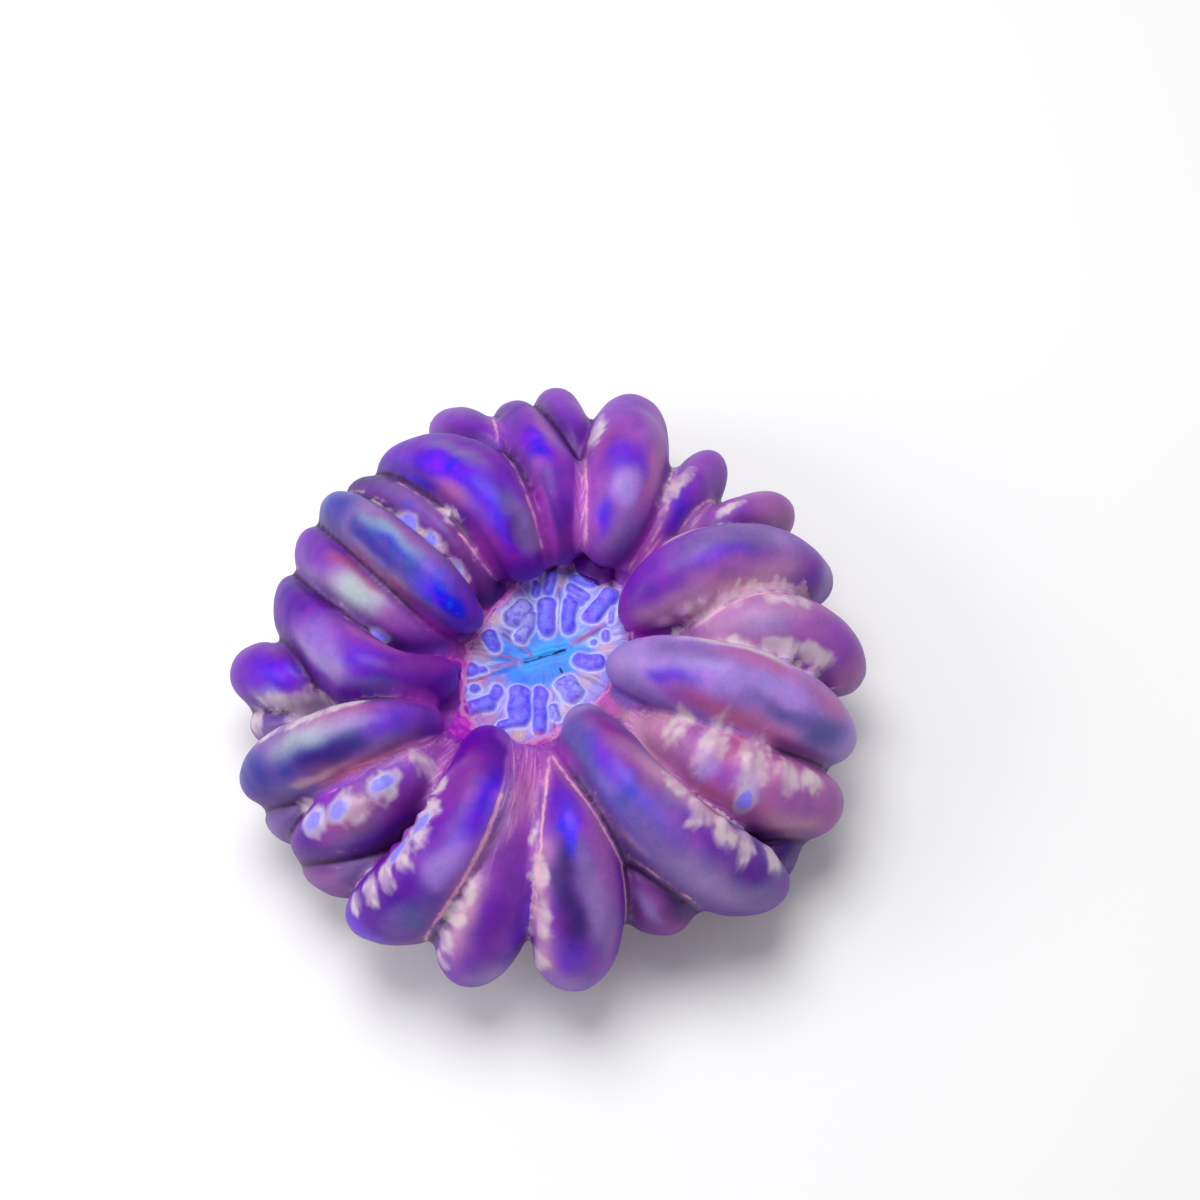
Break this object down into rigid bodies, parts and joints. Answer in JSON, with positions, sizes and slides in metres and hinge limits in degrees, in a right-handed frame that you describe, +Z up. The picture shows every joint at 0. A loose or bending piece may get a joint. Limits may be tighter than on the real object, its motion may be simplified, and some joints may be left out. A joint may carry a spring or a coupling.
{
  "type": "cynarina coral",
  "caption": "Solitary stony coral polyp with swollen fleshy lobes arching outwards from a sunken oral disc, on a low ribbed foot cut off flat.",
  "frame": {"origin": "middle of the footprint, on the flat cut face that the coral rests on", "axes": "+Z up out of the mouth; -Y is the side nearest the camera in the picture, and +X is its right"},
  "size_m": [0.0999, 0.1032, 0.037],
  "materials": {
    "polyp_tissue": "wet, soft translucent flesh in violet, blue and mauve"
  },
  "bodies": {
    "root": {"cynarina_polyp": "polyp_tissue"}
  },
  "joints": []
}
